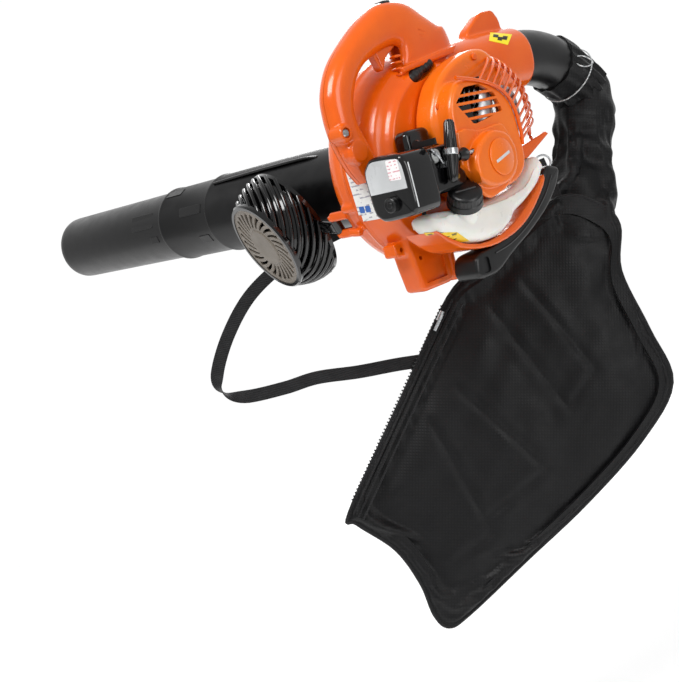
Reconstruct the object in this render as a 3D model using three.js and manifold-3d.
// Petrol leaf blower set up as a vacuum: scroll housing with its engine, suction tubes, outlet
// elbow and debris bag. Millimetres, +Z up. +Y runs along the suction tubes and +X along the
// outlet. Sizes are worked in a machine frame whose origin is the fan's centre; the whole machine
// is then moved so that the centre of the hand grip is the part's origin.
import * as THREE from 'three';
import { mergeVertices } from 'three/addons/utils/BufferGeometryUtils.js';
import Module from 'manifold-3d';

const wasm = await Module();
wasm.setup();

// ---------------------------------------------------------------- driving dimensions (mm)
const GAP = 0.3; // clearance between pieces that touch
const RUN = 1.5; // clearance round pieces that turn or slide
const WALL = 2.8; // moulded wall

const FAN_R = 76;
const FAN_WIDTH = 34;
const BLADES = 10;

const SCROLL_R = 106; // where the spiral starts, next to the outlet
const SCROLL_GROWTH = 30; // how much the spiral grows on its way round
const SCROLL_FRONT_Y = 24; // suction side
const SEAM_Y = -10; // joint between the two scroll halves
const SCROLL_BACK_Y = -66; // engine side

const NECK_Z = 100; // outlet axis above the fan axis
const NECK_Y = -18;
const NECK_END_X = 235;
const NECK_R = 40.5;
const ELBOW_R = 36; // outer radius of the elbow pipe
const ELBOW_BEND_R = 170;
const ELBOW_TURN = 50; // degrees
const ELBOW_GRIP = 45; // length inside the neck

const TUBE_R = 53; // upper suction tube
const TUBE_WALL = 2.4;
const SLEEVE_START_Y = 339;
const SLEEVE_END_Y = 451;
const NOZZLE_R = 48;
const NOZZLE_END_Y = 731;
const NOZZLE_OVERLAP = 60; // lower tube inside the sleeve

const GUARD_R = TUBE_R + 23; // covers the inlet collar
const GUARD_DISC_R = GUARD_R - 17;
const GUARD_DEPTH = 50;
const GUARD_SLOTS = 12;
const HINGE_REACH = TUBE_R + 54; // hinge line to fan axis
const HINGE_Y = 44;
const HINGE_BEARING = 202; // degrees round the fan axis
const GUARD_REST = 5.1; // room between the open guard's far edge and the tube
const GUARD_OPEN = THREE.MathUtils.radToDeg(
  Math.acos((HINGE_REACH - TUBE_R - GUARD_REST) / (HINGE_REACH + GUARD_R)));
const PIN_R = 2.5;

const HANDLE_Y = -42; // middle plane of the handle
const HANDLE_WIDTH = 34;
const TRIGGER_WIDTH = 10;

const ENGINE_Y = -93; // plane of the cylinder
const COVER_FRONT_Y = -119;
const COVER_SIDE_X = 98; // the cover's muffler side
const STARTER_FRONT_Y = -137;
const CRANK_R = 6;
const CRANK_THROW = 9;
const BARREL_R = 19;
const FIN_R = 33;
const FINS = 5;

const TANK_Y = [-115, -70];
const CAP_R = 20.5;
const CAP_HEIGHT = 20;

const STAND_BASE_Z = -138; // what the machine rests on when it is set down
const FOOT_X = [-90, -30];

const BAG_DEPTH = 86; // thickness of the filled bag
const BAG_WALL = 2.4;
const BAG_BACK = 165; // how far the bag hangs behind the fan centre
const STRAP_WIDTH = 25;
const STRAP_THICK = 2;

// ---------------------------------------------------------------- colours
const finish = (color, roughness, metalness = 0) => ({ color, roughness, metalness });
const ORANGE = finish(0xf2581c, 0.35);
const ORANGE_LIGHT = finish(0xf47a2c, 0.35);
const BLACK = finish(0x17181a, 0.5);
const BLACK_GLOSS = finish(0x101113, 0.2);
const RUBBER = finish(0x1b1b1c, 0.8);
const GREY = finish(0x8f9190, 0.5);
const STEEL = finish(0xa9abad, 0.35, 1);
const ALUMINIUM = finish(0xc2c4c6, 0.45, 1);
const MILKY = finish(0xeef0ee, 0.4);
const YELLOW = finish(0xf2d21b, 0.5);
const CLOTH = finish(0x141414, 0.9);
const CORD = finish(0xb9bcbc, 0.7);

// ---------------------------------------------------------------- helpers
const V = (x, y, z) => new THREE.Vector3(x, y, z);
const rad = THREE.MathUtils.degToRad;
const lerp = THREE.MathUtils.lerp;

function solid(geometry) {
  const bare = geometry.index ? geometry.toNonIndexed() : geometry.clone();
  bare.deleteAttribute('normal');
  bare.deleteAttribute('uv');
  const merged = mergeVertices(bare, 1e-4);
  return new wasm.Manifold(new wasm.Mesh({
    numProp: 3,
    vertProperties: new Float32Array(merged.attributes.position.array),
    triVerts: new Uint32Array(merged.index.array),
  }));
}

function geometryOf(body) {
  const { vertProperties, triVerts } = body.getMesh();
  const geometry = new THREE.BufferGeometry();
  geometry.setAttribute('position', new THREE.BufferAttribute(vertProperties, 3));
  geometry.setIndex(new THREE.BufferAttribute(triVerts, 1));
  geometry.computeVertexNormals();
  return geometry;
}

const joinAll = (bodies) => bodies.reduce((sum, body) => sum.add(body));

// The room that a piece takes up with a clearance all round.
const roomOf = (body, gap = GAP) => joinAll([-gap, gap].flatMap((d) =>
  [body.translate([d, 0, 0]), body.translate([0, d, 0]), body.translate([0, 0, d])]));
const FAR = 900;
const upTo = (y) => block([-FAR, FAR], [-FAR, y], [-FAR, FAR]);
const beyond = (y) => block([-FAR, FAR], [y, FAR], [-FAR, FAR]);

// A box between two corners.
function block([x0, x1], [y0, y1], [z0, z1]) {
  const box = new THREE.BoxGeometry(x1 - x0, y1 - y0, z1 - z0);
  return solid(box.translate((x0 + x1) / 2, (y0 + y1) / 2, (z0 + z1) / 2));
}

// A round bar between two points; the second radius makes it a cone.
function bar(from, to, radius, sides = 24, endRadius = radius) {
  const span = to.clone().sub(from);
  const cylinder = new THREE.CylinderGeometry(endRadius, radius, span.length(), sides);
  cylinder.translate(0, span.length() / 2, 0);
  cylinder.applyQuaternion(new THREE.Quaternion().setFromUnitVectors(V(0, 1, 0), span.normalize()));
  return solid(cylinder.translate(from.x, from.y, from.z));
}

// A turned piece on an axis through `at`; the profile is [radius, distance along the axis].
function turned(profile, sides = 40, axis = V(0, 1, 0), at = V(0, 0, 0)) {
  const lathe = new THREE.LatheGeometry(profile.map(([r, y]) => new THREE.Vector2(r, y)), sides);
  lathe.applyQuaternion(new THREE.Quaternion().setFromUnitVectors(V(0, 1, 0), axis));
  const body = lathe.translate(at.x, at.y, at.z);
  return outward(body);
}

// Turns a closed mesh's faces outward when its winding ran the other way.
function outward(geometry) {
  let body = solid(geometry);
  if (body.volume() < 0 || body.isEmpty()) {
    const flipped = geometry.index ? geometry.toNonIndexed() : geometry.clone();
    const p = flipped.attributes.position;
    for (let i = 0; i < p.count; i += 3) {
      const a = V().fromBufferAttribute(p, i);
      const b = V().fromBufferAttribute(p, i + 1);
      p.setXYZ(i, b.x, b.y, b.z);
      p.setXYZ(i + 1, a.x, a.y, a.z);
    }
    body = solid(flipped);
  }
  return body;
}

const outline = (points) => new THREE.Shape(points.map(([x, z]) => new THREE.Vector2(x, z)));

// A smooth closed outline through a few points.
function smoothOutline(points, divisions = 40) {
  const curve = new THREE.CatmullRomCurve3(points.map(([x, z]) => V(x, z, 0)), true, 'centripetal');
  return outline(curve.getSpacedPoints(divisions).slice(0, -1).map((p) => [p.x, p.y]));
}

// An outline in the XZ plane made solid between two values of Y, its edges rounded by `round`.
function slab(shape, [y0, y1], round = 0, curveSegments = 8) {
  const extruded = new THREE.ExtrudeGeometry(shape, {
    depth: y1 - y0 - 2 * round,
    bevelEnabled: round > 0,
    bevelThickness: round,
    bevelSize: round,
    bevelOffset: -round,
    bevelSegments: round > 4 ? 2 : 1,
    curveSegments,
  });
  extruded.rotateX(Math.PI / 2);
  return solid(extruded.translate(0, y1 - round, 0));
}

// A skin through rings of points, closed at both ends.
function loft(rings) {
  const count = rings[0].length;
  const points = rings.flat();
  const middle = (ring) => ring.reduce((sum, p) => sum.add(p), V(0, 0, 0)).divideScalar(ring.length);
  const first = points.push(middle(rings[0])) - 1;
  const last = points.push(middle(rings.at(-1))) - 1;
  const faces = [];
  for (let j = 0; j < count; j += 1) {
    const next = (j + 1) % count;
    for (let i = 0; i + 1 < rings.length; i += 1) {
      const [a, b] = [i * count + j, i * count + next];
      faces.push(a, b, b + count, a, b + count, a + count);
    }
    const end = (rings.length - 1) * count;
    faces.push(first, next, j, last, end + j, end + next);
  }
  const geometry = new THREE.BufferGeometry().setFromPoints(points);
  geometry.setIndex(faces);
  return outward(geometry);
}

// A round or ring section carried along a curve; `hole` is the inner radius.
function pipe(curve, radius, steps, sides = 24, hole = 0) {
  const section = new THREE.Shape(circlePoints(radius, sides));
  if (hole > 0) section.holes.push(new THREE.Path(circlePoints(hole, sides).reverse()));
  return solid(new THREE.ExtrudeGeometry(section, { steps, extrudePath: curve, bevelEnabled: false }));
}

const circlePoints = (radius, sides) => Array.from({ length: sides }, (_, i) => {
  const turn = (i / sides) * 2 * Math.PI;
  return new THREE.Vector2(Math.cos(turn) * radius, Math.sin(turn) * radius);
});

const through = (points) => new THREE.CatmullRomCurve3(points, false, 'centripetal');

const group = new THREE.Group();
const machine = new THREE.Group();
group.add(machine);

function place(name, body, look, parent = machine) {
  const geometry = body instanceof THREE.BufferGeometry ? body : geometryOf(body);
  const mesh = new THREE.Mesh(geometry, new THREE.MeshStandardMaterial(look));
  mesh.name = name;
  parent.add(mesh);
  return mesh;
}

// ---------------------------------------------------------------- scroll housing
// The spiral's radius: smallest below the outlet, largest at the top.
const TONGUE = -35; // degrees, where the spiral starts
const SPIRAL = 235; // degrees from there round to the top
function scrollRadius(bearing) {
  const run = THREE.MathUtils.clamp((TONGUE - bearing) / SPIRAL, 0, 1);
  return SCROLL_R + SCROLL_GROWTH * (0.53 * run + 0.47 * run * run);
}
const TOP_R = SCROLL_R + SCROLL_GROWTH;

function scrollRing(y, inset) {
  const ring = [];
  for (let bearing = 37; bearing >= TONGUE - SPIRAL; bearing -= 12) {
    const r = scrollRadius(bearing) - inset;
    ring.push(V(r * Math.cos(rad(bearing)), y, r * Math.sin(rad(bearing))));
  }
  ring.push(V(48, y, TOP_R - inset));
  ring.push(V(88 - inset, y, TOP_R - inset - 16));
  return ring;
}

// How far the outline draws in at each station along Y.
const SCROLL_DRAW = [
  [SCROLL_FRONT_Y, 16], [SCROLL_FRONT_Y - 5, 7], [SCROLL_FRONT_Y - 15, 1], [SEAM_Y, 0],
  [SEAM_Y - 18, 4], [SCROLL_BACK_Y + 15, 13], [SCROLL_BACK_Y, 26],
];

// A flattened round section across the outlet neck at x.
function neckRing(x, z, high, wide, inset) {
  return circlePoints(1, 28).map((p) => {
    const soft = (value) => Math.sign(value) * Math.abs(value) ** 0.8;
    return V(x, NECK_Y + soft(p.x) * (wide - inset), z + soft(p.y) * (high - inset));
  });
}

function scrollVolume(inset) {
  const spiral = loft(SCROLL_DRAW.map(([y, draw], i) => {
    const end = i === 0 ? -inset : i === SCROLL_DRAW.length - 1 ? inset : 0;
    return scrollRing(y + end, draw + inset);
  }));
  const neck = loft([
    neckRing(40, 92, 40, 39, inset),
    neckRing(110, 97, 40, 40, inset),
    neckRing(165, NECK_Z, NECK_R, NECK_R, inset),
    neckRing(NECK_END_X + (inset ? 5 : 0), NECK_Z, NECK_R, NECK_R, inset),
  ]);
  return spiral.add(neck);
}

const scrollOuter = scrollVolume(0);
const COLLAR_R = TUBE_R + GAP; // bore that takes the suction tube
const collar = bar(V(0, SCROLL_FRONT_Y - 6, 0), V(0, SCROLL_FRONT_Y + 16, 0), COLLAR_R + 4, 32);
const collarBore = bar(V(0, SCROLL_FRONT_Y - 12, 0), V(0, SCROLL_FRONT_Y + 30, 0), COLLAR_R, 32);
const shaftBore = bar(V(0, SCROLL_BACK_Y - 5, 0), V(0, SCROLL_BACK_Y + 8, 0), CRANK_R + 8);

// Front foot, moulded under the scroll, with its two screw lugs.
const FOOT_Y = [-42, -12];
const foot = slab(outline([
  [FOOT_X[0] + 4, STAND_BASE_Z], [FOOT_X[1] - 4, STAND_BASE_Z], [FOOT_X[1], -96], [FOOT_X[0], -70],
  [FOOT_X[0], -104],
]), FOOT_Y, 2);
const footFlange = block([FOOT_X[1] - 3, FOOT_X[1] + 6], [FOOT_Y[0] - 4, FOOT_Y[1]], [STAND_BASE_Z, -92]);
const footRecess = block([FOOT_X[0] + 14, FOOT_X[1] - 10], [FOOT_Y[0] - 3, FOOT_Y[0] + 2],
  [STAND_BASE_Z + 8, STAND_BASE_Z + 30]);
const footLugs = [[-104, -76], [-86, -92]].map(([x, z]) =>
  block([x - 11, x + 9], [-36, -18], [z - 8, z + 8]));
const LUG_HOLE_R = 2.6;
const lugHoles = [[-104, -78], [-86, -94]].map(([x, z]) =>
  bar(V(x - 1, -50, z), V(x - 1, -25, z), LUG_HOLE_R, 12));
const rimLugs = [[-119, -47, 12], [-118, -20, 10]].map(([x, z, y]) =>
  bar(V(x, y - 8, z), V(x, y + 8, z), 6, 14));

// Hinge ears for the intake guard on the scroll's face.
const outwards = V(Math.cos(rad(HINGE_BEARING)), 0, Math.sin(rad(HINGE_BEARING)));
const tangent = V(-outwards.z, 0, outwards.x);
const hinge = outwards.clone().multiplyScalar(HINGE_REACH).setY(HINGE_Y);
const EAR = 5; // thickness of an ear
const KNUCKLE = 16; // width of the guard's knuckle
const onHinge = (along) => hinge.clone().addScaledVector(tangent, along);
const ears = [-1, 1].map((side) => {
  const inner = side * (KNUCKLE / 2 + RUN);
  const outer = inner + side * EAR;
  const root = V(0, SCROLL_FRONT_Y - HINGE_Y - 8, 0);
  const eye = bar(onHinge(inner), onHinge(outer), PIN_R + 4, 20);
  const post = bar(onHinge(inner).add(root), onHinge(outer).add(root), PIN_R + 6, 4);
  return eye.add(post).hull();
});
const pinHole = bar(onHinge(-30), onHinge(30), PIN_R + GAP, 16);

// The rubber grommet's pocket and the neck's lifting fin.
const grommetAt = V(-8, SCROLL_BACK_Y + 5, 106);
const fin = slab(smoothOutline([
  [128, 128], [140, 150], [176, 163], [206, 160], [214, 146], [216, 130], [170, 124],
], 24), [NECK_Y - 5, NECK_Y + 5], 2);

// Closed outside of the scroll, used to trim what stands on it.
const scrollBody = scrollOuter.add(fin).add(foot).add(footFlange);
const cavity = scrollVolume(WALL);
const scrollCase = joinAll([
  scrollOuter, collar, fin, foot, footFlange, ...footLugs, ...rimLugs, ...ears,
]).subtract(joinAll([cavity, collarBore, shaftBore, footRecess, ...lugHoles, pinHole]));

const largest = (body) => body.decompose().sort((a, b) => b.volume() - a.volume())[0];

// Grommet: an oval rubber boot in the engine-side half, where the cable and wire go in.
const grommetOval = (x, y, [z0, z1]) => loft([z0, z1].map((z) => circlePoints(1, 16).map((p) =>
  V(grommetAt.x + p.x * x, grommetAt.y + p.y * y, grommetAt.z + z + p.x * 3))));
const grommetPlug = grommetOval(14, 4, [-10, 8]);
const grommetHole = grommetOval(14.5, 4.5, [-30, 30]);

place('scroll_inlet_half', largest(scrollCase.intersect(beyond(SEAM_Y))), ORANGE);
place('scroll_engine_half', largest(scrollCase.intersect(upTo(SEAM_Y - GAP)).subtract(grommetHole)), ORANGE);
place('cable_grommet', grommetPlug, RUBBER);

// ---------------------------------------------------------------- fan and crank train
const FAN_BACK_Y = SCROLL_BACK_Y + 9;
const blades = Array.from({ length: BLADES }, (_, i) => {
  const blade = block([24, FAN_R - 1], [FAN_BACK_Y + 2, FAN_BACK_Y + FAN_WIDTH], [-1.5, 1.5]);
  return blade.translate([0, 0, 14]).rotate([0, (i * 360) / BLADES, 0]);
});
const fanHub = bar(V(0, FAN_BACK_Y, 0), V(0, FAN_BACK_Y + FAN_WIDTH - 4, 0), 18);
const fanPlate = bar(V(0, FAN_BACK_Y, 0), V(0, FAN_BACK_Y + 3, 0), FAN_R, 40);
const fanBore = bar(V(0, FAN_BACK_Y - 5, 0), V(0, FAN_BACK_Y + FAN_WIDTH + 5, 0), CRANK_R + GAP);
place('fan_impeller', joinAll([fanHub, fanPlate, ...blades]).subtract(fanBore), ALUMINIUM);
const NUT_Y = FAN_BACK_Y + FAN_WIDTH - 4 + GAP;
const nut = bar(V(0, NUT_Y, 0), V(0, NUT_Y + 9, 0), 11, 6).subtract(
  bar(V(0, NUT_Y - 1, 0), V(0, NUT_Y + 10, 0), CRANK_R + GAP));
place('fan_nut', nut, STEEL);

const FLYWHEEL_Y = [ENGINE_Y - 22, ENGINE_Y - 18];
const crankshaft = joinAll([
  bar(V(0, ENGINE_Y - 22.5, 0), V(0, ENGINE_Y - 6, 0), CRANK_R),
  bar(V(0, ENGINE_Y + 6, 0), V(0, NUT_Y + 8, 0), CRANK_R),
  ...[-1, 1].map((side) => slab(smoothOutline([[-13, -16], [13, -16], [9, 20], [-9, 20]], 20),
    side < 0 ? [ENGINE_Y - 9, ENGINE_Y - 5] : [ENGINE_Y + 5, ENGINE_Y + 9])),
  bar(V(0, ENGINE_Y - 7, CRANK_THROW), V(0, ENGINE_Y + 7, CRANK_THROW), 4, 16),
]);
place('crankshaft', crankshaft, STEEL);
place('flywheel', bar(V(0, FLYWHEEL_Y[0], 0), V(0, FLYWHEEL_Y[1], 0), 29, 24).subtract(
  bar(V(0, FLYWHEEL_Y[0] - 1, 0), V(0, FLYWHEEL_Y[1] + 1, 0), CRANK_R + GAP)), ALUMINIUM);

const CASE_Y = [ENGINE_Y - 16, ENGINE_Y + 16];
const bearingSeat = 11;
const crankcase = bar(V(0, CASE_Y[0], 0), V(0, CASE_Y[1], 0), 30, 28)
  .add(block([-26, 26], CASE_Y, [0, 30]))
  .subtract(bar(V(0, CASE_Y[0] + 5, 0), V(0, CASE_Y[1] - 5, 0), 25))
  .subtract(bar(V(0, CASE_Y[0] - 5, 0), V(0, CASE_Y[1] + 5, 0), bearingSeat + GAP))
  .subtract(bar(V(0, ENGINE_Y, 10), V(0, ENGINE_Y, 60), BARREL_R - 6));
place('crankcase', crankcase, ALUMINIUM);
for (const [name, y] of [['bearing_starter_side', CASE_Y[0]], ['bearing_fan_side', CASE_Y[1] - 5]]) {
  place(name, bar(V(0, y, 0), V(0, y + 5, 0), bearingSeat).subtract(
    bar(V(0, y - 1, 0), V(0, y + 6, 0), CRANK_R + GAP)), STEEL);
}

// ---------------------------------------------------------------- cylinder, piston, ignition
const BARREL_Z = [30 + GAP, 58];
const BORE_R = 14.5;
const finsOf = Array.from({ length: FINS }, (_, i) => {
  const z = lerp(BARREL_Z[0] + 8, BARREL_Z[1] - 4, i / (FINS - 1));
  return bar(V(0, ENGINE_Y, z), V(0, ENGINE_Y, z + 2), FIN_R, 20)
    .intersect(block([-25, FIN_R], [ENGINE_Y - BARREL_R, ENGINE_Y + 24], [0, 200]));
});
const barrel = bar(V(0, ENGINE_Y, BARREL_Z[0]), V(0, ENGINE_Y, BARREL_Z[1]), BARREL_R, 20);
const cylinder = joinAll([barrel, ...finsOf])
  .subtract(bar(V(0, ENGINE_Y, 0), V(0, ENGINE_Y, BARREL_Z[1] - 6), BORE_R, 24))
  .subtract(bar(V(0, ENGINE_Y, 0), V(0, ENGINE_Y, 120), 4.3, 16))
  .subtract(block([-40, 0], [ENGINE_Y - 5, ENGINE_Y + 5], [40, 46]))
  .subtract(block([0, 40], [ENGINE_Y - 6, ENGINE_Y + 6], [46, 53]));
place('cylinder', cylinder, ALUMINIUM);
const PISTON_Z = 30;
place('piston', bar(V(0, ENGINE_Y, PISTON_Z), V(0, ENGINE_Y, PISTON_Z + 18), BORE_R - GAP)
  .subtract(bar(V(0, ENGINE_Y, PISTON_Z - 1), V(0, ENGINE_Y, PISTON_Z + 14), BORE_R - 3)), ALUMINIUM);
// The rod's lower eye stands clear of the crank pin's circle, so that the crankshaft can turn.
const ROD_EYE_R = 6;
const ROD_Z = CRANK_THROW + 4 + RUN + ROD_EYE_R;
const rod = block([-3, 3], [ENGINE_Y - 2.5, ENGINE_Y + 2.5], [ROD_Z, PISTON_Z + 12])
  .add(bar(V(0, ENGINE_Y - 3.5, ROD_Z), V(0, ENGINE_Y + 3.5, ROD_Z), ROD_EYE_R, 18))
  .subtract(bar(V(0, ENGINE_Y - 5, ROD_Z), V(0, ENGINE_Y + 5, ROD_Z), 4, 12));
place('connecting_rod', rod, STEEL);
const PLUG_Z = BARREL_Z[1] - 5;
place('spark_plug', joinAll([
  bar(V(0, ENGINE_Y, PLUG_Z), V(0, ENGINE_Y, BARREL_Z[1] + 8), 4, 16),
  bar(V(0, ENGINE_Y, BARREL_Z[1] + GAP), V(0, ENGINE_Y, BARREL_Z[1] + 6), 8, 6),
]), STEEL);
const BOOT_Z = BARREL_Z[1] + 8 + GAP;
place('plug_boot', bar(V(0, ENGINE_Y, BOOT_Z), V(0, ENGINE_Y, BOOT_Z + 8), 8, 16)
  .add(bar(V(0, ENGINE_Y + 2, BOOT_Z + 5), V(-16, ENGINE_Y + 2, BOOT_Z + 4), 3.5, 10)), RUBBER);
place('ignition_coil', block([-26, -4], [ENGINE_Y - 22, ENGINE_Y - 19.5], [36, 56]), BLACK);

// ---------------------------------------------------------------- muffler, carburettor, filter
const MUFFLER_X = [FIN_R + 9, COVER_SIDE_X - 16];
place('muffler', slab(smoothOutline([
  [MUFFLER_X[0], 20], [MUFFLER_X[1], 12], [MUFFLER_X[1] + 2, 62], [MUFFLER_X[0], 68],
], 20), [ENGINE_Y - 20, ENGINE_Y + 20], 5), STEEL);
const CARB_X = [-96, -32];
const carburettor = block([CARB_X[0], CARB_X[0] + 34], [ENGINE_Y - 18, ENGINE_Y + 16], [4, 44])
  .add(bar(V(CARB_X[0] + 30, ENGINE_Y, 24), V(CARB_X[1], ENGINE_Y, 24), 15, 20))
  .subtract(bar(V(CARB_X[0] - 5, ENGINE_Y, 24), V(CARB_X[1] + 5, ENGINE_Y, 24), 8, 20));
place('carburettor', carburettor, ALUMINIUM);

const FILTER_X = [-150, -104];
const FILTER_Y = [-128, -64];
const filterOutline = (inset) => {
  const [y0, y1] = [FILTER_Y[0] + inset, FILTER_Y[1] - inset];
  return [
    [y0 + 6, 25 - inset], [y1 - 14, 28 - inset], [y1, 14], [y1 - 2, -34], [y1 - 14, -44 + inset],
    [y0 + 4, -42 + inset], [y0, -34], [y0, 12],
  ];
};
function filterBody(inset, [x0, x1], round) {
  const shape = outline(filterOutline(inset));
  const extruded = new THREE.ExtrudeGeometry(shape, {
    depth: x1 - x0 - 2 * round, bevelEnabled: round > 0, bevelThickness: round, bevelSize: round,
    bevelOffset: -round, bevelSegments: 2,
  });
  // The outline's first axis becomes Y and its second Z, and its depth runs along X.
  const turn = new THREE.Matrix4().makeBasis(V(0, 1, 0), V(0, 0, 1), V(1, 0, 0));
  return solid(extruded.applyMatrix4(turn).translate(x0 + round, 0, 0));
}
place('air_filter_cover', filterBody(0, FILTER_X, 4)
  .subtract(filterBody(WALL, [FILTER_X[0] + WALL, FILTER_X[1] + 1], 0))
  .subtract(bar(V(-160, -98, -26), V(-140, -98, -26), 5.3, 20)), BLACK_GLOSS);
place('filter_element', filterBody(WALL + 5, [FILTER_X[0] + 16, FILTER_X[0] + 34], 0)
  .subtract(bar(V(-160, -98, -26), V(-100, -98, -26), 7, 20)), GREY);
place('filter_base', filterBody(WALL + GAP, [FILTER_X[1] - 8, FILTER_X[1] - 3], 0)
  .subtract(bar(V(-160, ENGINE_Y, 24 - 8), V(-90, ENGINE_Y, 24 - 8), 6, 20))
  .subtract(bar(V(-160, -98, -26), V(-100, -98, -26), 3.4, 16)), BLACK);
place('filter_knob', bar(V(FILTER_X[0] - 7, -98, -26), V(FILTER_X[0] - GAP, -98, -26), 9, 16)
  .add(bar(V(FILTER_X[0] - 1, -98, -26), V(FILTER_X[1] - 1, -98, -26), 3, 16)), BLACK);
place('choke_lever', block([FILTER_X[1] + 2, FILTER_X[1] + 5], [-134, -110], [24, 31])
  .add(bar(V(FILTER_X[1] + 2, -107, 27.5), V(FILTER_X[1] + 5, -107, 27.5), 6, 16))
  .add(bar(V(FILTER_X[1] + 4, -107, 27.5), V(CARB_X[0] - GAP, -107, 27.5), 2.3, 12)), BLACK);
place('primer_bulb', turned([[0, 0], [9, 0], [9, 4], [7, 9], [3, 12], [0, 12.5]], 20, V(0, -1, 0),
  V(CARB_X[0] + 7, ENGINE_Y - 18 - GAP, 12)), GREY);

// ---------------------------------------------------------------- engine cover and starter
// The tank's cap stands beside the cover, which has a recess round it.
const capAxis = V(-0.35, -0.55, 0.76).normalize();
const capAt = V(-54, -114, -48);
const onCap = (along) => capAt.clone().addScaledVector(capAxis, along);
const capRecess = bar(onCap(-10), onCap(CAP_HEIGHT + 30), CAP_R + RUN, 28);
const coverOutline = [
  [-46, 50], [-27, 75], [9, 93], [50, 105], [76, 105], [92, 82], [COVER_SIDE_X, 40], [COVER_SIDE_X - 2, -10],
  [82, -34], [48, -44], [0, -46], [-36, -42], [-54, -22], [-56, 16],
];
const coverShape = smoothOutline(coverOutline, 28);
const COVER_BACK_Y = SCROLL_BACK_Y - GAP;
const coverSolid = slab(coverShape, [COVER_FRONT_Y, COVER_BACK_Y], 8);
const coverShell = coverSolid
  .subtract(slab(coverShape, [COVER_FRONT_Y - 8, COVER_BACK_Y + 12], 8)
    .scale([0.94, 1, 0.92]).translate([1.5, WALL + 8, 2]))
  .subtract(block([-80, -30], [-114, -64], [2, 46]));
const windowSlats = [0, 1, 2, 3].map((i) => slab(outline([
  [-44, 26 + i * 15], [64, 44 + i * 15], [64, 47.5 + i * 15], [-44, 29.5 + i * 15],
]), [COVER_FRONT_Y - 0.5, COVER_FRONT_Y + 4]));
const windowShape = outline([[-36, 50], [-8, 30], [58, 42], [66, 78], [20, 94], [-6, 82]]);
const coverWindow = slab(windowShape, [COVER_FRONT_Y - 4, COVER_FRONT_Y + 12]);
const sideSlots = [0, 1, 2, 3, 4].map((i) =>
  block([COVER_SIDE_X - 24, 130], [-108, -72], [2 + i * 14, 10 + i * 14]));
const engineCover = coverShell.subtract(coverWindow)
  .add(joinAll(windowSlats).intersect(slab(windowShape, [-200, 0]).scale([1.06, 1, 1.06])))
  .subtract(joinAll(sideSlots)).subtract(capRecess);
place('engine_cover', largest(engineCover), ORANGE_LIGHT);

// Bars that stand off the cover's muffler side.
const guardBars = [0, 1, 2, 3, 4, 5].map((i) => {
  const z = -4 + i * 13;
  return bar(V(COVER_SIDE_X + 1.5, -92 + i, z), V(128, -94 + i, z + 3), 1.6, 6);
});
const guardRail = bar(V(126.5, -94, -10), V(126.5, -89, 67), 2.4, 8);
place('muffler_guard', joinAll([guardRail, ...guardBars]), ORANGE);

const SCREW_R = 4.2;
for (const [name, x, z] of [['cover_screw_left', -34, 40], ['cover_screw_top', 26, 88]]) {
  place(name, largest(bar(V(x, COVER_FRONT_Y - 3, z), V(x, COVER_FRONT_Y + 6, z), SCREW_R, 12)
    .subtract(roomOf(engineCover))), STEEL);
}

const STARTER_Y = [STARTER_FRONT_Y, COVER_FRONT_Y - GAP];
const starterPlate = slab(outline([
  [-56, -22], [-50, 30], [-34, 32], [-10, 26], [34, 28], [46, 6], [42, -30], [14, -46], [-18, -52],
]), [STARTER_Y[1] - 5, STARTER_Y[1]], 0);
const starterBoss = slab(outline([
  [-47, -4], [-29, 14], [-1, 24], [22, 14], [31, -4], [27, -24], [8, -40], [-20, -40], [-46, -28],
]), STARTER_Y, 3);
const PULLEY_R = 22;
const pulleyAt = V(-3, 0, -9);
const inStarter = (from, to, r, sides = 28) =>
  bar(V(pulleyAt.x, from, pulleyAt.z), V(pulleyAt.x, to, pulleyAt.z), r, sides);
const ROPE_Z = 5;
const ropeExit = V(-50, -127, ROPE_Z);
const ropeBore = bar(V(-70, ropeExit.y, ROPE_Z), V(-18, ropeExit.y, ROPE_Z), 3.4, 12);
const starter = starterPlate.add(starterBoss)
  .subtract(inStarter(STARTER_Y[0] + 3, STARTER_Y[1] + 5, PULLEY_R + RUN))
  .subtract(ropeBore).subtract(capRecess);
place('starter_housing', largest(starter), ORANGE_LIGHT);
place('starter_badge', inStarter(STARTER_Y[0] - 2, STARTER_Y[0] - GAP, 16, 36), ORANGE_LIGHT);
place('recoil_spring', inStarter(STARTER_Y[0] + 3 + GAP, STARTER_Y[0] + 6, PULLEY_R - 1)
  .subtract(inStarter(STARTER_Y[0] + 2, STARTER_Y[0] + 8, 9)), STEEL);
place('starter_pulley', inStarter(STARTER_Y[0] + 6 + GAP, STARTER_Y[1], PULLEY_R), BLACK);

const guide = bar(V(-63, ropeExit.y, ROPE_Z), V(-51, ropeExit.y, ROPE_Z), 6.5, 20)
  .subtract(ropeBore).subtract(starterPlate.add(starterBoss).translate([-GAP, 0, 0]))
  .subtract(slab(coverShape, [COVER_FRONT_Y - GAP, 0]));
place('rope_guide', largest(guide), BLACK);
const GRIP_X = -73;
place('starter_rope', bar(V(GRIP_X + 9 + GAP, ropeExit.y, ROPE_Z), V(-27, ropeExit.y, ROPE_Z), 2, 10), CORD);
const gripBar = loft([
  [-22, 6], [-17, 8.5], [0, 9], [20, 9], [38, 8.5], [46, 6],
].map(([z, r]) => circlePoints(1, 18).map((p) => V(GRIP_X + p.x * r, ropeExit.y + p.y * r * 0.9, z))));
place('pull_grip', gripBar, RUBBER);

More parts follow.
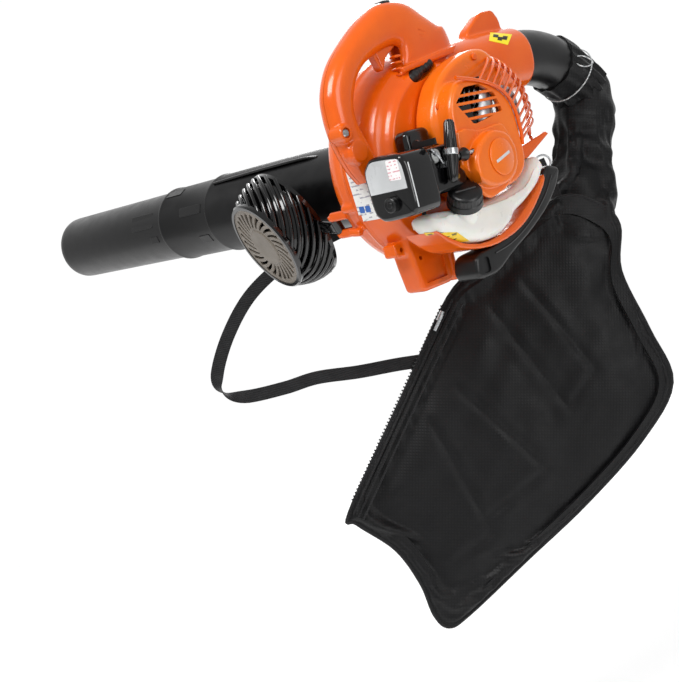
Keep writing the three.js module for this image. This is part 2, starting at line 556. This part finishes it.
// ---------------------------------------------------------------- fuel tank and rear stand
const tankShape = smoothOutline([
  [-132, -50], [-60, -54], [-20, -55], [20, -54], [60, -48], [88, -26], [106, -20], [110, -38],
  [94, -62], [54, -86], [22, -92], [-4, -102], [-38, -104], [-80, -98], [-114, -84], [-138, -66],
], 26);
const tankNeck = bar(onCap(-18), onCap(8), 14, 24);
const tank = slab(tankShape, TANK_Y, 9).add(tankNeck)
  .subtract(slab(tankShape, [TANK_Y[0] - 6, TANK_Y[1] + 6], 9).scale([0.95, 0.8, 0.88])
    .translate([0, -18.5, -8]))
  .subtract(bar(onCap(-30), onCap(12), 10.5, 24));
place('fuel_tank', largest(tank.subtract(roomOf(coverSolid))), MILKY);
const cap = bar(onCap(1), onCap(CAP_HEIGHT), CAP_R, 28, CAP_R - 1)
  .subtract(bar(onCap(0), onCap(CAP_HEIGHT - 5), 14 + RUN, 24))
  .subtract(slab(tankShape, [TANK_Y[0] - GAP, TANK_Y[1] + GAP], 9));
place('cap_gasket', bar(onCap(8 + GAP), onCap(10), 13, 24).subtract(bar(onCap(7), onCap(11), 9, 24)), RUBBER);
place('fuel_cap', largest(cap), BLACK);
place('fuel_line', largest(pipe(through([
  V(-92, -84, -60), V(-92, -84, -48), V(-90, -86, -30), V(-86, -90, -12), V(-84, -92, 3.2),
]), 2.5, 12, 8).subtract(roomOf(slab(tankShape, TANK_Y, 9)))), RUBBER);

const stand = slab(outline([
  [168, -34], [152, -68], [122, -100], [80, -124], [36, -136], [-6, STAND_BASE_Z], [-26, STAND_BASE_Z],
  [-26, -112], [0, -110], [40, -104], [78, -90], [112, -64], [132, -36], [140, -22],
]), [-112, -70], 3);
place('rear_stand', stand, BLACK);

// ---------------------------------------------------------------- handle, trigger, switch
// Stations along the handle: a point on its outer side, one on its inner side, half its width.
const HALF = HANDLE_WIDTH / 2;
const handleStations = [
  [[-133, 2], [-112, 6], HALF - 5], [[-150, 14], [-116, 22], HALF - 2], [[-160, 32], [-126, 40], HALF - 1],
  [[-165, 58], [-133, 60], HALF - 1], [[-166, 78], [-134, 78], HALF - 1], [[-161, 102], [-130, 93], HALF - 1],
  [[-141, 136], [-117, 113], HALF - 1], [[-103, 163], [-90, 132], HALF - 0.5], [[-66, 179], [-58, 142], HALF],
  [[-34, 189], [-34, 141], HALF], [[6, 179], [-26, 136], HALF + 1], [[40, 156], [-28, 124], HALF - 1],
  [[58, 128], [-34, 113], HALF - 2], [[60, 108], [-34, 98], HALF - 2],
];
const handleBody = loft(handleStations.map(([[ox, oz], [ix, iz], half]) => circlePoints(1, 20).map((p) => {
  const soft = (value) => Math.sign(value) * Math.abs(value) ** 0.8;
  const [across, along] = [soft(p.x), soft(p.y)];
  return V((ox + ix) / 2 + (across * (ox - ix)) / 2, HANDLE_Y + along * half,
    (oz + iz) / 2 + (across * (oz - iz)) / 2);
})));
const HANDLE_SIDES = [HANDLE_Y - HANDLE_WIDTH / 2, HANDLE_Y + HANDLE_WIDTH / 2];
const triggerSlot = block([-74, -14], [HANDLE_Y - TRIGGER_WIDTH / 2 - RUN, HANDLE_Y + TRIGGER_WIDTH / 2 + RUN],
  [110, 168]);
const scrollTrim = scrollVolume(-GAP);
const switchWell = block([-34, -13], [HANDLE_Y - 8 - GAP, HANDLE_Y + 8 + GAP], [178, 200]);
const handle = handleBody
  .subtract(scrollTrim).subtract(triggerSlot).subtract(switchWell)
  .subtract(bar(V(-20, HANDLE_Y - 10, 154), V(-20, HANDLE_Y + 10, 154), PIN_R + GAP, 12));
place('handle_left', largest(handle.intersect(upTo(HANDLE_Y - GAP / 2))), ORANGE);
place('handle_right', largest(handle.intersect(beyond(HANDLE_Y + GAP / 2))), ORANGE);
place('handle_screw', bar(V(-158, HANDLE_SIDES[0] - 2, 62), V(-158, HANDLE_SIDES[0] - GAP, 62), 5, 16), STEEL);

const triggerAt = V(-20, HANDLE_Y, 154);
const trigger = slab(outline([
  [-17, 158], [-26, 161], [-66, 152], [-70, 146], [-60, 119], [-55, 117], [-46, 132], [-18, 146],
]), [HANDLE_Y - TRIGGER_WIDTH / 2, HANDLE_Y + TRIGGER_WIDTH / 2], 1.5)
  .subtract(bar(triggerAt.clone().setY(-80), triggerAt.clone().setY(0), PIN_R + GAP, 12));
place('throttle_trigger', trigger, ORANGE);
place('trigger_pin', bar(V(-20, HANDLE_Y - 9.5, 154), V(-20, HANDLE_Y + 9.5, 154), PIN_R, 12), STEEL);
place('stop_switch', block([-32, -18], [HANDLE_Y - 8, HANDLE_Y + 8], [179, 193]), BLACK);

// ---------------------------------------------------------------- suction tubes
const SLEEVE_R = TUBE_R - 1.5;
const TUBE_START_Y = SCROLL_FRONT_Y - 6;
const tubeProfile = (shape, wall) => [
  ...shape,
  ...shape.slice().reverse().map(([r, y]) => [r - wall, y]),
];
const upperTube = turned([...tubeProfile([
  [TUBE_R, TUBE_START_Y], [TUBE_R, SLEEVE_START_Y - 6], [TUBE_R + 1.5, SLEEVE_START_Y - 4],
  [TUBE_R + 1.5, SLEEVE_START_Y], [SLEEVE_R, SLEEVE_START_Y + 1], [SLEEVE_R, SLEEVE_END_Y - 6],
  [SLEEVE_R + 1.5, SLEEVE_END_Y - 4], [SLEEVE_R + 1.5, SLEEVE_END_Y],
], TUBE_WALL), [TUBE_R, TUBE_START_Y]], 32);
place('upper_suction_tube', upperTube, BLACK);
const JOINT_R = SLEEVE_R - TUBE_WALL - GAP; // lower tube where it slides in
const lowerTube = turned([...tubeProfile([
  [JOINT_R, SLEEVE_END_Y - NOZZLE_OVERLAP], [JOINT_R, SLEEVE_END_Y + 4],
  [lerp(JOINT_R, NOZZLE_R, 0.4), SLEEVE_END_Y + 100],
  [NOZZLE_R, NOZZLE_END_Y - 8], [NOZZLE_R - 0.6, NOZZLE_END_Y - 2], [NOZZLE_R - 1.6, NOZZLE_END_Y],
], TUBE_WALL - 0.3), [JOINT_R, SLEEVE_END_Y - NOZZLE_OVERLAP]], 32);
place('lower_suction_tube', lowerTube, BLACK);

// ---------------------------------------------------------------- intake guard
const hingeGroup = new THREE.Group();
hingeGroup.position.copy(hinge);
hingeGroup.quaternion.setFromAxisAngle(tangent, rad(-GUARD_OPEN));
machine.add(hingeGroup);
const bowl = turned([
  [GUARD_R, 0], [GUARD_R, 6], [GUARD_R - 2, 26], [GUARD_R - 8, 40], [GUARD_DISC_R, GUARD_DEPTH],
  [16, GUARD_DEPTH], [14, GUARD_DEPTH + 4], [0, GUARD_DEPTH + 4], [0, GUARD_DEPTH - 3],
  [GUARD_DISC_R - 2, GUARD_DEPTH - 3], [GUARD_R - 11, 38], [GUARD_R - 5, 24], [GUARD_R - 3, 0],
  [GUARD_R, 0],
], 24);
const guardSlots = Array.from({ length: GUARD_SLOTS }, (_, i) => {
  const side = block([GUARD_R - 20, GUARD_R + 5], [10, GUARD_DEPTH - 8], [-5, 5]);
  const top = block([22, GUARD_DISC_R - 8], [GUARD_DEPTH - 8, GUARD_DEPTH + 8], [-2.6, 2.6]);
  return side.add(top).rotate([0, (i * 360) / GUARD_SLOTS, 0]);
});
const armHalf = KNUCKLE / 2;
const arm = block([GUARD_R - 3, HINGE_REACH], [0.5, 5], [-armHalf, armHalf])
  .add(bar(V(HINGE_REACH, 0, -armHalf), V(HINGE_REACH, 0, armHalf), PIN_R + 3.5, 20))
  .subtract(bar(V(HINGE_REACH, 0, -30), V(HINGE_REACH, 0, 30), PIN_R + GAP, 16))
  .rotate([0, -HINGE_BEARING, 0]);
const intakeGuard = bowl.subtract(joinAll(guardSlots)).add(arm)
  .translate(hinge.clone().negate().setY(0).toArray());
place('intake_guard', largest(intakeGuard), BLACK, hingeGroup);
place('guard_hinge_pin', bar(onHinge(-KNUCKLE / 2 - RUN - EAR), onHinge(KNUCKLE / 2 + RUN + EAR), PIN_R, 16),
  STEEL);

// ---------------------------------------------------------------- outlet elbow
class ElbowLine extends THREE.Curve {
  constructor(fromDegrees, toDegrees) {
    super();
    this.range = [fromDegrees, toDegrees];
  }

  getPoint(t, target = V()) {
    const turn = rad(lerp(this.range[0], this.range[1], t));
    return target.set(NECK_END_X + ELBOW_BEND_R * Math.sin(turn), NECK_Y,
      NECK_Z - ELBOW_BEND_R * (1 - Math.cos(turn)));
  }
}
const ELBOW_STEPS = 6;
const STRAIGHT_IN_NECK = bar(V(NECK_END_X - ELBOW_GRIP, NECK_Y, NECK_Z),
  V(NECK_END_X + 0.5, NECK_Y, NECK_Z), ELBOW_R, 22);
const elbowBore = pipe(new ElbowLine(-1, ELBOW_TURN + 1), ELBOW_R - 2.4, ELBOW_STEPS, 22).add(
  bar(V(NECK_END_X - ELBOW_GRIP - 2, NECK_Y, NECK_Z), V(NECK_END_X + 1, NECK_Y, NECK_Z), ELBOW_R - 2.4, 22));
place('outlet_elbow', pipe(new ElbowLine(0, ELBOW_TURN), ELBOW_R, ELBOW_STEPS, 22).add(STRAIGHT_IN_NECK)
  .subtract(elbowBore), BLACK);

// ---------------------------------------------------------------- debris bag
// The bag hangs in a plane of its own: u across it, w behind the machine, v up.
const bagGroup = new THREE.Group();
bagGroup.rotation.set(rad(-8.6), rad(15), rad(-43), 'ZXY');
machine.add(bagGroup);
bagGroup.updateMatrix();
const toBag = bagGroup.matrix.clone().invert();
const B = (u, v, w) => V(u, w, v);

const cuffStart = ELBOW_TURN - 3 * (ELBOW_TURN / ELBOW_STEPS);
place('bag_cuff', pipe(new ElbowLine(cuffStart, ELBOW_TURN), ELBOW_R + 3.4, 3, 22, ELBOW_R + 2 * GAP), CLOTH);

const ductStart = new ElbowLine(0, ELBOW_TURN).getPoint(1).applyMatrix4(toBag);
const ductAim = V(Math.cos(rad(ELBOW_TURN)), 0, -Math.sin(rad(ELBOW_TURN))).transformDirection(toBag);
const ductStations = [
  { at: ductStart.clone().addScaledVector(ductAim, GAP), aim: ductAim, across: 39.4, deep: 39.4 },
  { at: B(258, 122, 233), aim: B(0.25, -0.9, 0.25), across: 41, deep: 39 },
  { at: B(256, 88, 229), aim: B(-0.1, -1, -0.1), across: 42, deep: 37 },
  { at: B(246, 40, 212), aim: B(-0.2, -1, -0.35), across: 47, deep: 35 },
  { at: B(242, -10, 190), aim: B(0, -1, -0.4), across: 51, deep: 33 },
  { at: B(240, -70, 170), aim: B(0, -1, -0.2), across: 46, deep: 30 },
];
function ductVolume(inset) {
  return loft(ductStations.map(({ at, aim, across, deep }, i) => {
    const forward = aim.clone().normalize();
    const right = V(1, 0, 0).addScaledVector(forward, -forward.x).normalize();
    const back = right.clone().cross(forward).normalize();
    const start = i === 0 && inset ? at.clone().addScaledVector(forward, -1) : at;
    return circlePoints(1, 20).map((p) => start.clone()
      .addScaledVector(right, p.x * (across - inset)).addScaledVector(back, p.y * (deep - inset)));
  }));
}

// Drawcord round the cuff: a ring that lies on it, with a hanging bow loop.
const cuffMiddle = new ElbowLine(cuffStart, ELBOW_TURN);
const cordCentre = cuffMiddle.getPoint(0.55);
const cordAim = cuffMiddle.getTangent(0.55);
const cordRing = turned([
  [ELBOW_R + 3.8, -1.3], [ELBOW_R + 6.4, -1.3], [ELBOW_R + 6.4, 1.3], [ELBOW_R + 3.8, 1.3],
  [ELBOW_R + 3.8, -1.3],
], 24, cordAim, cordCentre);
place('bag_drawcord', cordRing.subtract(roomOf(pipe(cuffMiddle, ELBOW_R + 3.4, 3, 22))), CORD);

// Outline of the bag body in its plane, [u, v].
const bagOutline = [
  [60, -148], [-6, -292], [-72, -436], [-62, -452], [-10, -486], [24, -532], [42, -574], [62, -590],
  [90, -572], [168, -498], [246, -424], [320, -340], [361, -262], [330, -190], [292, -112],
  [290, -50], [262, -22], [214, -12], [160, -52], [104, -106],
];
function bagBodyVolume(inset) {
  const middle = [150, -290];
  const ring = (shrink, w) => bagOutline.map(([u, v]) => {
    const away = new THREE.Vector2(u - middle[0], v - middle[1]);
    const length = away.length();
    away.setLength(length * shrink - inset);
    return B(middle[0] + away.x, middle[1] + away.y, BAG_BACK + w);
  });
  const half = BAG_DEPTH / 2 - inset;
  return loft([
    ring(0.5, -half), ring(0.78, -half * 0.85), ring(0.93, -half * 0.5), ring(1, 0),
    ring(0.93, half * 0.5), ring(0.78, half * 0.85), ring(0.5, half),
  ]);
}
// Two panels, seamed together all round, and the neck that is sewn into them.
const bagPanels = bagBodyVolume(0).subtract(bagBodyVolume(BAG_WALL)).subtract(ductVolume(0));
const bagNeck = ductVolume(0).subtract(ductVolume(BAG_WALL)).subtract(bagBodyVolume(-GAP));
place('bag_front_panel', largest(bagPanels.intersect(upTo(BAG_BACK - GAP / 2))), CLOTH, bagGroup);
place('bag_back_panel', largest(bagPanels.intersect(beyond(BAG_BACK + GAP / 2))), CLOTH, bagGroup);
place('bag_neck', largest(bagNeck), CLOTH, bagGroup);

// Zip along the bag's straight edge, just outside the seam.
const zipFrom = B(60, -148, BAG_BACK);
const zipTo = B(-72, -436, BAG_BACK);
const zipDirection = zipTo.clone().sub(zipFrom).normalize();
const zipOut = V(zipDirection.z, 0, -zipDirection.x);
const onZip = (along, out) => zipFrom.clone().addScaledVector(zipDirection, along)
  .addScaledVector(zipOut.x < 0 ? zipOut : zipOut.clone().negate(), out);
const ZIP_RUN = [14, 300];
place('bag_zip', bar(onZip(ZIP_RUN[0], 2.8), onZip(ZIP_RUN[1], 2.8), 2.4, 8), BLACK, bagGroup);
place('zip_slider', bar(onZip(ZIP_RUN[0] + 6, 8), onZip(ZIP_RUN[0] + 22, 8), 2.6, 8), STEEL, bagGroup);

// Steel ring that joins the strap to a tab on the bag's neck.
const ringAt = B(184, 30, 146);
place('strap_ring', turned([[9, -1.5], [12, -1.5], [12, 1.5], [9, 1.5], [9, -1.5]], 20, V(0, 1, 0), ringAt),
  STEEL, bagGroup);

// Strap: flat webbing from the ring beside the bag's neck, under the tube, to the bag's edge.
const STRAP_V = -TUBE_R; // level with the tube's underside
const strapRoute = [
  [186, 26, 128], [150, 10, 118], [90, -14, 122], [20, STRAP_V + 27, 132], [-40, STRAP_V + 13, 150],
  [-92, STRAP_V - 9, 176], [-160, STRAP_V - 43, 190], [-202, STRAP_V - 81, 192], [-230, -186, 190],
  [-243, -246, 188], [-232, -268, 186], [-204, -274, 184], [-160, -266, 182],
  [-116, -254, 180], [-60, -248, 176], [-8, -238, 172],
];
function webbing(route, width, thick) {
  const line = through(route.map(([u, v, w]) => B(u, v, w)));
  const steps = route.length * 3;
  return loft(Array.from({ length: steps + 1 }, (_, i) => {
    const t = i / steps;
    const at = line.getPoint(t);
    const aim = line.getTangent(t);
    const across = aim.clone().cross(V(0, 1, 0)).normalize().multiplyScalar(width / 2);
    const face = V(0, thick / 2, 0);
    return [[1, 1], [1, -1], [-1, -1], [-1, 1]].map(([a, b]) =>
      at.clone().addScaledVector(across, a).addScaledVector(face, b));
  }));
}
place('shoulder_strap', webbing(strapRoute, STRAP_WIDTH, STRAP_THICK), CLOTH, bagGroup);

// The grip's centre is the part's origin.
const gripCentre = V(-72, HANDLE_Y, 157);
machine.position.copy(gripCentre).negate();

export default group;
